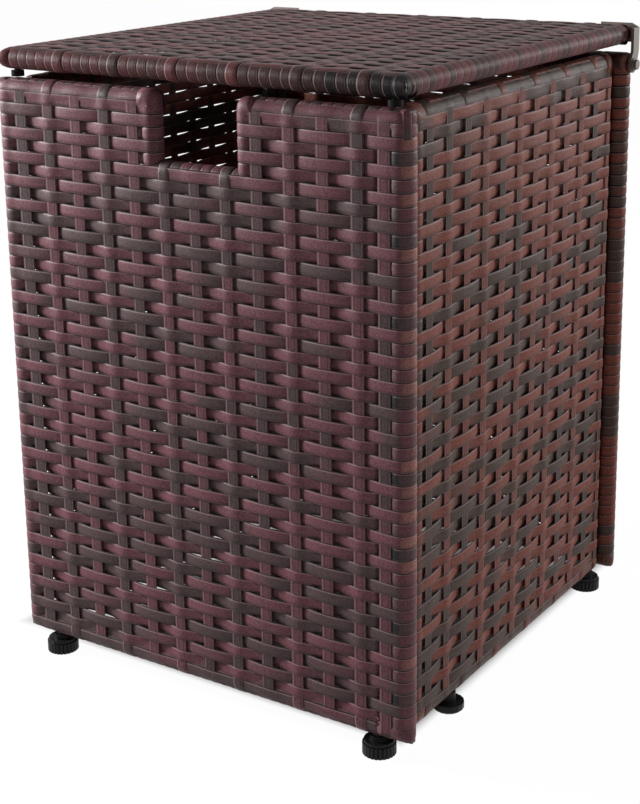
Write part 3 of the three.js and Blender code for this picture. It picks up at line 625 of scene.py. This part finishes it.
def row_family(
    panel, centres, numbers, span, stakes, wrap_ends=(True, True), sides=None, grey=0.4, bias=0.0, floor=None,
    under=UNDER, power=2, shift=0.0, width=STRAND_WIDTH, squeeze=0.8, worn_from=None,
):
    """A family of rows over span. The height is the middle of the relief plus half of it times the wave, with the sign
    changing from row to row; near a side rod it eases to snug, and nowhere does it sink into a rod. A strand is
    narrower by up to the squeeze where it lies lowest, and where it starts to turn round the right front post its tone
    drops below 0: a painted highlight for the light on that turn."""
    first_stake, pitch, parity = stakes
    run = np.linspace(span[0], span[1], int((span[1] - span[0]) / ROW_STEP) + 2)
    (low_s, high_s, low_radius, high_radius), (low_t, high_t, radius, _) = rods_of(panel, sides, None)
    sign = np.where((numbers + parity) % 2 == 0, 1, -1)[:, None]
    height = (OVER + under) / 2 + (OVER - under) / 2 * sign * wave(run - first_stake, pitch, power)
    snug_low, snug_high = panel.get("snug", (0, 0))
    if wrap_ends[0]:
        height = snug_past(np.maximum(height, rod_top(run - low_s, low_radius)), run - low_s + snug_low)
    if wrap_ends[1]:
        height = snug_past(np.maximum(height, rod_top(high_s - run, high_radius)), high_s - run + snug_high)
    centres = centres[:, None]
    height = np.maximum(height, np.maximum(rod_top(high_t - centres, radius), rod_top(centres - low_t, radius)))
    if floor:
        over_floor = softly(run, NOTCH["left"] - FLOOR_EASE, NOTCH["left"])
        over_floor = over_floor * softly(-run, -NOTCH["right"] - FLOOR_EASE, -NOTCH["right"])
        floor_top = rod_top(np.abs(centres - floor[0]), floor[1])
        height = np.maximum(height, floor_top * over_floor + UNDER * (1 - over_floor))
    tone = drifting(len(centres), run, grey=grey, bias=bias)
    if worn_from:
        tone = tone - TURN_HIGHLIGHT_AMOUNT * softly(run, worn_from, worn_from + TURN_HIGHLIGHT_LENGTH)
    squeezed = width - squeeze * np.clip((OVER + UNDER - 2 * height) / (OVER - UNDER), 0, 1)
    ring_run, ring_side, ring_height = sections(run, centres, height + shift, squeezed)
    ring_height = clear_of_rods(panel, ring_run, ring_side, ring_height, sides, None, *ROW_ROOM)
    points = on_panel(panel, ring_run, ring_side, ring_height, sides)
    return family(points, tone, run + grain_start(len(centres)))


TOP_ROW = 576.45
BODY_ROWS = np.arange(49)
BODY_CENTRES = TOP_ROW - ROW_PITCH * BODY_ROWS
FIRST_ROW, LAST_ROW = BODY_CENTRES[0], BODY_CENTRES[-1]
WRAP_TURN, LID_TURN = 3.4, 4.4  # radians that a row runs on round its rod
POST_WRAP = BODY_ROD * WRAP_TURN
print("a body panel has", len(BODY_ROWS), "rows, from", FIRST_ROW, "down to", round(LAST_ROW, 2), "mm")

# %% [markdown]
# ## Stakes
# The stakes stand upright and are held by the rows. Each bows in where a row crosses it and out between rows.
# Every other stake is long: it goes over the outermost row, round the rail and ends inside, which ties the rim.

# %% Stake weaving
CLIMB_START, CLIMB = 9, 5


def stake_family(
    panel, places, raised, first_row, last_row, pitch, levels=None, tuck=40.0, width=12.0, grey=0.35, bias=0.0,
    level=STAKE_LEVEL,
):
    """A family of stakes. The height is the stake's own middle less a cosine of the row pitch, since it is pushed
    in under a row. A raised stake climbs over the outermost rows near both rails and runs round them."""
    low_t, high_t = (levels[:2] if levels else panel["rods"][2:])
    reach = tuck if raised else 7.0
    run = np.linspace(low_t - reach, high_t + reach, int((high_t - low_t + 2 * reach) / STAKE_STEP) + 2)
    lowest, highest = min(first_row, last_row), max(first_row, last_row)
    phase = np.cos(np.pi * (np.clip(run, lowest, highest) - first_row) / pitch)
    sign = -1 if raised else 1
    height = level - STAKE_SWAY * sign * phase
    upper, lower = highest - CLIMB_START, CLIMB_START + lowest
    climb = softly(run, upper, upper + CLIMB) + softly(-run, -lower, CLIMB - lower)
    height = height * (1 - climb) + PROUD * climb if raised else height
    tone = drifting(len(places), run, grey=grey, bias=bias)
    ring_run, ring_side, ring_height = sections(run, places[:, None], height, width)
    ring_height = clear_of_rods(panel, ring_side, ring_run, ring_height, NO_RODS, levels, *STAKE_ROOM)
    points = on_panel(panel, ring_side, ring_run, ring_height, None, levels)
    return family(points, tone, run + grain_start(len(places)), True)


print("the widest wave of a stake is", 2 * STAKE_SWAY, "mm")

# %% [markdown]
# ## Rims
# Between two long stakes, five short strands wrap each rail, so that no steel shows there. They start tucked under
# the outermost row and lean a little to one side, as strands do that are wound by hand.

# %% Rim wraps
TOP_TUCK, LOW_TUCK, RIM_REACH = 12.6, 7.0, 52.0


def rim_family(
    panel, places, from_rod, reach, slant=0.12, level=-0.45, levels=None, low_side=False, width=11.2, tones=None,
    on_rod=(0.5, 0.45),
):
    """Short strands that wrap a rail beyond the outermost row: they start tucked under it, from_rod past the
    rail's centre line, and run round to reach. The slant shifts them along the rail as they go round."""
    low_t, high_t = (levels[:2] if levels else panel["rods"][2:])
    past = np.linspace(from_rod, reach, 16)
    height = level - 0.9 * (1 - softly(past, from_rod, from_rod + 5))
    run = low_t - past if low_side else high_t + past
    tone = drifting(len(places), run, steady=0.95)
    if tones is not None:
        tone = tone * 0.25 + tones[:, None]
    ring_run, ring_side, ring_height = sections(run, places[:, None] + slant * past, height, width)
    ring_height = clear_of_rods(panel, ring_side, ring_run, ring_height, NO_RODS, levels, *on_rod)
    points = on_panel(panel, ring_side, ring_run, ring_height, NO_RODS, levels)
    return family(points, tone, run + grain_start(len(places)), True)


def between_stakes(raised_places, low, high, pitch):
    """The places of the rim's wraps: five between two raised stakes, in sixths of their distance, kept inside low
    and high."""
    numbers = np.arange(-20, 60)
    places = raised_places[0] + 2 * pitch / 6 * numbers
    return places[(numbers % 6 != 0) & (places > low) & (places < high)]


print("a rim's wrap runs", RIM_REACH - TOP_TUCK, "mm round the top rail")

# %% [markdown]
# ## The front panel
# Rows 0 to 5 stop at the notch and wrap its two columns. The rest run across. At the right the even rows run on
# over the corner stake and round the post. The odd ones end beside it, and short strands wrap the post there.

# %% Front panel
front = PANELS["front"]
FRONT_STAKES = -193.0 + STAKE_PITCH * np.arange(12)
ROW_END = 193.5
stakes_of_front = (FRONT_STAKES[0], STAKE_PITCH, 0)
# where the rows start to turn round the right post, and their painted highlight begins
TURN_HIGHLIGHT_FROM = 211.0
column_wrap = NOTCH["radius"] * WRAP_TURN
left_end, right_end = -POST - POST_WRAP, POST + POST_WRAP
notch_left, notch_right = NOTCH["left"] + column_wrap, NOTCH["right"] - column_wrap
left_sides = (-POST, NOTCH["left"], BODY_ROD, NOTCH["radius"])
right_sides = (NOTCH["right"], POST, NOTCH["radius"], BODY_ROD)


def front_part(numbers, span, at_post=True, **more):
    """The rows with the given numbers over one span of the front panel. At the right they wrap the post, or else
    they end beside it."""
    centres, rows = BODY_CENTRES[numbers], BODY_ROWS[numbers]
    return row_family(front, centres, rows, span, stakes_of_front, (True, at_post), squeeze=0.4, **more)


floor_rod = (NOTCH["floor"], NOTCH["radius"])
front_rows = [
    front_part(slice(0, 1), (left_end, notch_left), sides=left_sides, bias=-1.5),
    front_part(slice(1, 6), (left_end, notch_left), sides=left_sides, bias=-0.5),
    front_part(slice(0, 1), (notch_right, 219.0), sides=right_sides, bias=-1.5),
    front_part(slice(1, 2), (notch_right, ROW_END + 5), False, sides=right_sides, bias=-0.5),
    front_part(slice(3, 6, 2), (notch_right, ROW_END), False, sides=right_sides, bias=-0.5),
    front_part(slice(2, 6, 2), (notch_right, right_end), sides=right_sides, bias=-0.5, worn_from=TURN_HIGHLIGHT_FROM),
    front_part(slice(6, 7), (left_end, right_end), floor=floor_rod, worn_from=TURN_HIGHLIGHT_FROM),
    front_part(slice(7, 48, 2), (left_end, ROW_END), False),
    front_part(slice(8, 48, 2), (left_end, right_end), worn_from=TURN_HIGHLIGHT_FROM),
    front_part(slice(48, 49), (left_end, ROW_END), False),
]
print("front rows:", len(BODY_ROWS), "in", len(front_rows), "families")

# %% [markdown]
# ## The right front post
# The strands that wrap this post are painted paler where they turn, a painted highlight for the light on the post's
# rounded turn. The short ones start tucked under the corner stake and rise to the post, and every third is nearly
# black.

# %% Corner wraps on the right front post
WRAP_START, TUCKED, RISE = 195.5, -3.3, (205.5, 212)
wrap_centres = BODY_CENTRES[1:48:2][:, None]
wrap_count = len(wrap_centres)
run = np.linspace(WRAP_START, right_end, 30)
height = TUCKED + (SNUG - TUCKED) * softly(run, *RISE)
tone = drifting(wrap_count, run, steady=0.97, grey=0.3)
tone = np.where(np.arange(wrap_count)[:, None] % 3 == 1, 1.04, tone * 0.4 + 0.35)
# painted highlight: where the wraps turn round the post, their tone drops below 0 to the paler highlight colour
tone = tone - TURN_HIGHLIGHT_AMOUNT * softly(run, TURN_HIGHLIGHT_FROM, TURN_HIGHLIGHT_FROM + TURN_HIGHLIGHT_LENGTH)
ring_run, ring_side, ring_height = sections(run, wrap_centres, height, STRAND_WIDTH)
ring_height = clear_of_rods(front, ring_run, ring_side, ring_height, None, None, *ROW_ROOM)
points = on_panel(front, ring_run, ring_side, ring_height)
odd_wraps = family(points, tone, run + grain_start(wrap_count))
print("short wraps on the post:", wrap_count)

# %% [markdown]
# ## Front stakes and rim
# Three stakes start below the notch, on its floor rail. Short strands wrap the rails between the raised stakes.
# One loose strand end stands over the right post's turn.

# %% Front stakes and rim
short_places, long_places = FRONT_STAKES[[0, 2, 4, 8, 10]], FRONT_STAKES[[1, 3, 9, 11]]
FRONT_WIDTH, CORNER_STAKE = 12.6, np.array([201.4])
short_widths = np.full((len(short_places), 1), FRONT_WIDTH)
short_widths[0] = 14.0  # closes the gap beside the left post
floor_levels = (LOW_RAIL, NOTCH["floor"], BODY_ROD, NOTCH["radius"])
whole, below_notch = (FIRST_ROW, LAST_ROW, ROW_PITCH), (BODY_CENTRES[6], LAST_ROW, ROW_PITCH)
front_stakes = [
    stake_family(front, short_places, False, *whole, grey=0.6, width=short_widths),
    stake_family(front, long_places, True, *whole, grey=0.6, width=FRONT_WIDTH),
    stake_family(front, FRONT_STAKES[[5, 7]], True, *below_notch, levels=floor_levels, tuck=34.0, grey=0.7),
    stake_family(front, FRONT_STAKES[[6]], False, *below_notch, levels=floor_levels, grey=0.7),
    stake_family(front, CORNER_STAKE, False, *whole, width=FRONT_WIDTH, grey=0.15),
]
rail_wraps = between_stakes(FRONT_STAKES[1::2], -208, 209, STAKE_PITCH)
top_wraps = rail_wraps[(rail_wraps < NOTCH["left"] - 4) | (rail_wraps > NOTCH["right"] + 4)]
floor_wraps = rail_wraps[(rail_wraps > NOTCH["left"] + 2) & (rail_wraps < NOTCH["right"] - 2)]
front_rim = [
    rim_family(front, top_wraps, TOP_TUCK, RIM_REACH),
    rim_family(front, rail_wraps, LOW_TUCK, RIM_REACH, low_side=True),
    rim_family(front, floor_wraps, 4.6, 38.0, levels=floor_levels),
]


def corner_ribbon(place, low, high, width):
    """One upright strand on the right post's turn, over the second row and up to the rail."""
    run = np.linspace(low, high, 14)[None, :]
    ring_run, ring_side, ring_height = sections(run, place, OVER, width)
    points = on_panel(front, ring_side, ring_run, ring_height, None, NO_RODS)
    # painted highlight: the tone falls below 0 towards the rail, paler where the light falls on the post's turn
    return family(points, np.interp(run, (low, high), (0.75, -0.2)), run, True)


front_rim.append(corner_ribbon(place=223.3, low=557.5, high=580.5, width=8.8))
front_parts = {"rows": front_rows, "corner_wraps": [odd_wraps], "stakes": front_stakes, "rim": front_rim}
for part, families in front_parts.items():
    make_piece(f"front_{part}", families, front)

# %% [markdown]
# ## Corner folds
# Where a post meets a rail, the real weaver folds a strand round the elbow. The fold is a surface of two turned
# parameters: the angle round the tube, and the way from the rail, through a rounded mitre, to the post.

# %% Folds
FOLD_RING, FOLD_CURVE = 28, 9


def fold(panel, corner, signs, legs, rounding, lift=0.45, radius=None, tone_value=0.2):
    """The elbow's tube. At angle a round it, the tube stands out by p = radius cos a in the panel and q = radius
    sin a from it. Its line runs along the rail at height p, then by a curve with weights (1-b) squared, 2b(1-b)
    and b squared to the post, and along that. Its two ends close on their middles."""
    rod = radius or panel["radius"]
    size = rod - lift
    angle = np.linspace(0, 2 * np.pi, FOLD_RING, endpoint=False)
    p, q = size * np.cos(angle), size * np.sin(angle)
    middle = 0 * p
    cut = rounding * (size + p) / (2 * size) + 0.4
    b = np.linspace(0, 1, FOLD_CURVE)[:, None]
    on_rail = p + np.concatenate([[-legs[0] - p], (1 - b) ** 2 * -cut])
    on_post = p + np.concatenate([[middle], b**2 * -cut])
    s_out = np.concatenate([on_rail[:1], on_rail, [p, middle]])
    t_out = np.concatenate([[middle], on_post, [middle - legs[1], middle - legs[1]]])
    depth = np.concatenate([[middle], np.broadcast_to(q, on_rail.shape), [q, middle]])
    points = in_space(panel, corner[0] + signs[0] * s_out, corner[1] + signs[1] * t_out, depth - rod)
    tone = np.full((1, len(s_out)), tone_value)
    made = family(points[None], tone, np.linspace(0, 40, len(s_out))[None])
    made["caps"] = made["caps"][:0]
    return made


def four_folds(name, legs=((8, 3), (8, 3)), rounding=5, tones=None, lift=0.45):
    """The folds at a panel's four corners, low left, top left, low right and top right, each with its own tone. legs
    holds how far a low and a top fold run along rail and post. A dark fold is painted shade: it stands for the open
    mitre where a strand's end is tucked in."""
    panel = PANELS[name]
    low_s, high_s, low_t, high_t = panel["rods"]
    corners = (low_s, low_t), (low_s, high_t), (high_s, low_t), (high_s, high_t)
    outwards = (-1, -1), (-1, 1), (1, -1), (1, 1)
    tones = tones or rng.uniform(0.1, 0.45, len(corners))
    made = [
        fold(panel, corner, signs, legs[k % 2], rounding, lift, tone_value=tones[k])
        for k, (corner, signs) in enumerate(zip(corners, outwards))
    ]
    make_piece(f"{name}_folds", made, panel)


four_folds("front", legs=((20, 6), (-1, -1)), lift=0.9)
NOTCH_TOP = 572.0
notch_bend = [
    fold(front, (NOTCH[side], NOTCH_TOP), (turn, 1), legs=(10, 4), rounding=11.0, radius=NOTCH["radius"])
    for side, turn in (("left", 1), ("right", -1))
]
make_piece("notch_folds", notch_bend, front)

# %% [markdown]
# ## The rear and side panels
# The photograph never shows the back or the left side. They are woven like the front and the right side, because
# one weaver would make all four alike. The sides' last stake lies on their rear upright.

# %% Whole panels
def weave_panel(name, stakes, parity, raised_from, share, snug, width, bias=0.0, top_bias=0.0, rim_bias=0.0):
    """Weaves a body panel without a notch: rows that wrap both posts, short and long stakes, rims and folds. The
    first row, the fourteen below it and the rest each have their own colour bias and width."""
    panel = PANELS[name]
    panel["snug"] = snug
    low_s, high_s = panel["rods"][:2]
    span = (low_s - POST_WRAP, high_s + POST_WRAP)
    layout = (stakes[0], STAKE_PITCH, parity)
    zones = (slice(0, 1), rim_bias, width), (slice(1, 15), top_bias, width), (slice(15, 49), bias, STRAND_WIDTH)
    rows = [
        row_family(panel, BODY_CENTRES[part], BODY_ROWS[part], span, layout, grey=share, bias=shift, width=across)
        for part, shift, across in zones
    ]
    long_places, short_places = stakes[raised_from::2], stakes[1 - raised_from::2]
    uprights = [stake_family(panel, short_places, False, *whole), stake_family(panel, long_places, True, *whole)]
    wraps = between_stakes(long_places, low_s + 2, high_s - 2, STAKE_PITCH)
    rims = [
        rim_family(panel, wraps, TOP_TUCK, RIM_REACH), rim_family(panel, wraps, LOW_TUCK, RIM_REACH, low_side=True)
    ]
    for part, families in (("rows", rows), ("stakes", uprights), ("rim", rims)):
        make_piece(f"{name}_{part}", families, panel)
    four_folds(name)


SIDE_STAKES = -175.5 + STAKE_PITCH * np.arange(12)
weave_panel("rear", FRONT_STAKES, 0, 1, 0.4, (0, 0), 11.3)
weave_panel("right", SIDE_STAKES, 1, 0, 0.42, (0, 13), STRAND_WIDTH, 0.25, -0.45, 2.0)
weave_panel("left", SIDE_STAKES, 1, 0, 0.42, (0, 13), 11.3, 0.25, -0.45, 2.0)

# %% [markdown]
# ## The lid
# The lid is woven flat in the same way, with its rows from left to right. They run on round the side rails, and
# short wraps cover the front and rear rails. Every other stake climbs over those wraps and stands a little proud.
# The upright strands get darker towards the right, and the low right fold is nearly black, painted shade for the open
# mitre there.

# %% Lid
lid = PANELS["lid"]
LID_ROWS = np.arange(39)
LID_SPAN = 434.4
LID_PITCH = LID_SPAN / 38
LID_CENTRES = LID_SPAN / 2 - LID_PITCH * LID_ROWS
LID_STAKE_PITCH = 32.75
LID_STAKES = -180.2 + LID_STAKE_PITCH * np.arange(12)
LID_END = LID_SIDE + LID_ROD * LID_TURN
lid_layout, whole_lid = (LID_STAKES[0], LID_STAKE_PITCH, 0), (LID_CENTRES[0], LID_CENTRES[38], LID_PITCH)
lid_rows = row_family(
    lid, LID_CENTRES, LID_ROWS, (-LID_END, LID_END), lid_layout, shift=-0.35, width=13.8, squeeze=0.0, under=-2.1,
    power=3,
)
darker_from = (-205, 0, 90, 206)
raised_bias = np.interp(LID_STAKES[1::2], darker_from, (-0.5, -0.1, 0.4, 3.6))[:, None]
lid_stakes = [
    stake_family(lid, LID_STAKES[::2], False, *whole_lid, level=-1.2, width=13.4, grey=0.45),
    stake_family(lid, LID_STAKES[1::2], True, *whole_lid, tuck=46.0, level=-1.2, width=13.0, bias=raised_bias),
]
lid_wraps = between_stakes(LID_STAKES[1::2], -205, 214, LID_STAKE_PITCH)
rim_tones = np.interp(lid_wraps, darker_from, (0.16, 0.32, 0.62, 1.0))
lid_rim = [
    rim_family(lid, lid_wraps, 2.5, 50.0, 0.05, -0.8, low_side=low, width=10.9, tones=rim_tones, on_rod=(0.3, 0.3))
    for low in (False, True)
]
for part, families in (("rows", [lid_rows]), ("stakes", lid_stakes), ("rim", lid_rim)):
    make_piece(f"lid_{part}", families, lid)
# the low right fold's tone of 1.0 is painted shade: near black for the open mitre at that corner
four_folds("lid", rounding=2.5, tones=(0.1, 0.3, 1.0, 0.3), lift=0.98)

# %% [markdown]
# ## Lamps
# A broad soft lamp stands on the left. A second one, behind the right side, rakes along it so that its strands
# stand out. A weak lamp lights the corner post and another the lid.

# %% Four lamps
def soft_lamp(name, place, aim, size, power):
    """A square area lamp of the given side, turned so that its light falls on aim."""
    data = bpy.data.lights.new(name, "AREA")
    data.size, data.energy = size, power
    lamp = bpy.data.objects.new(name, data)
    bpy.context.scene.collection.objects.link(lamp)
    aim_line = Vector(aim) - Vector(place)
    lamp.matrix_world = Matrix.Translation(place) @ aim_line.to_track_quat("-Z", "Y").to_matrix().to_4x4()
    print(f"{name}: {power} W")


soft_lamp("lamp_left", (-1.6, -0.65, 0.9), (0, -0.2, 0.4), 0.45, 61)
soft_lamp("lamp_right", (1.4, 2.05, 1.0), (0.1, 0, 0.35), 0.6, 37)
soft_lamp("lamp_corner", (2.15, -0.6, 0.7), (0.2, -0.1, 0.35), 0.4, 5.5)
soft_lamp("lamp_above", (-0.5, 0.6, 2.4), (0, 0, 0.5), 1.0, 6)

# %% [markdown]
# ## A white room
# The floor and the room are white for the camera, but the light that they throw on the object is weak, so its
# undersides stay dark. The floor under the object keeps its own shade, so that the gaps between strands look dark.

# %% Room and floor
ROOM_LIGHT, ROOM_SEEN = 0.035, 1.0
FLOOR_SIDE, FLOOR_GLOW, GLOW_SHARE = 6.0, 1.05, 0.93
SHADE_SHIFT, SHADE_FROM, SHADE_TO = 0.035, 0.22, 0.24


def seen_in(tree):
    """1 for what the camera sees, also in a mirror or through glass, and 0 for the light thrown on other things."""
    rays = tree.nodes.new("ShaderNodeLightPath").outputs
    passed_on = math_node(tree, "MAXIMUM", rays["Is Glossy Ray"], rays["Is Transmission Ray"])
    return math_node(tree, "MAXIMUM", rays["Is Camera Ray"], passed_on)


world = bpy.data.worlds.new("pale_room")
bpy.context.scene.world = world
world.use_nodes = True
backdrop = world.node_tree.nodes["Background"]
room_strength = remap(world.node_tree, seen_in(world.node_tree), 0.0, 1.0, ROOM_LIGHT, ROOM_SEEN)
world.node_tree.links.new(room_strength, backdrop.inputs["Strength"])
backdrop.inputs["Color"].default_value = (1, 1, 1, 1)

corners = FLOOR_SIDE * np.array([[-1, -1, 0], [1, -1, 0], [1, 1, 0], [-1, 1, 0]])
floor_mesh = bpy.data.meshes.new("floor")
floor_mesh.from_pydata(corners.tolist(), [], [(0, 1, 2, 3)])
floor = bpy.data.objects.new("floor", floor_mesh)
bpy.context.scene.collection.objects.link(floor)
floor_material = bpy.data.materials.new("pale_floor")
floor_material.use_nodes = True
tree = floor_material.node_tree
put, maths, ease, blend = helpers_for(tree)
shader = tree.nodes["Principled BSDF"]
shader.inputs["Base Color"].default_value = (0.5, 0.5, 0.5, 1)
shader.inputs["Roughness"].default_value = 0.9
glow = put("ShaderNodeEmission", {"Color": (1, 1, 1, 1), "Strength": FLOOR_GLOW})
floor_place = put("ShaderNodeSeparateXYZ", {0: tree.nodes.new("ShaderNodeTexCoord").outputs["Object"]})
sideways = maths("ABSOLUTE", maths("ADD", floor_place.outputs[0], SHADE_SHIFT))
lengthways = maths("ABSOLUTE", maths("SUBTRACT", floor_place.outputs[1], SHADE_SHIFT))
outside = ease(maths("MAXIMUM", sideways, lengthways), SHADE_FROM, SHADE_TO)
share = maths("MULTIPLY", maths("MULTIPLY", seen_in(tree), outside), GLOW_SHARE)
mixer = put("ShaderNodeMixShader", {0: share, 1: shader.outputs[0], 2: glow.outputs[0]})
tree.links.new(mixer.outputs[0], tree.nodes["Material Output"].inputs["Surface"])
floor_mesh.materials.append(floor_material)
print("a pale room, and a floor of", 2 * FLOOR_SIDE, "m")
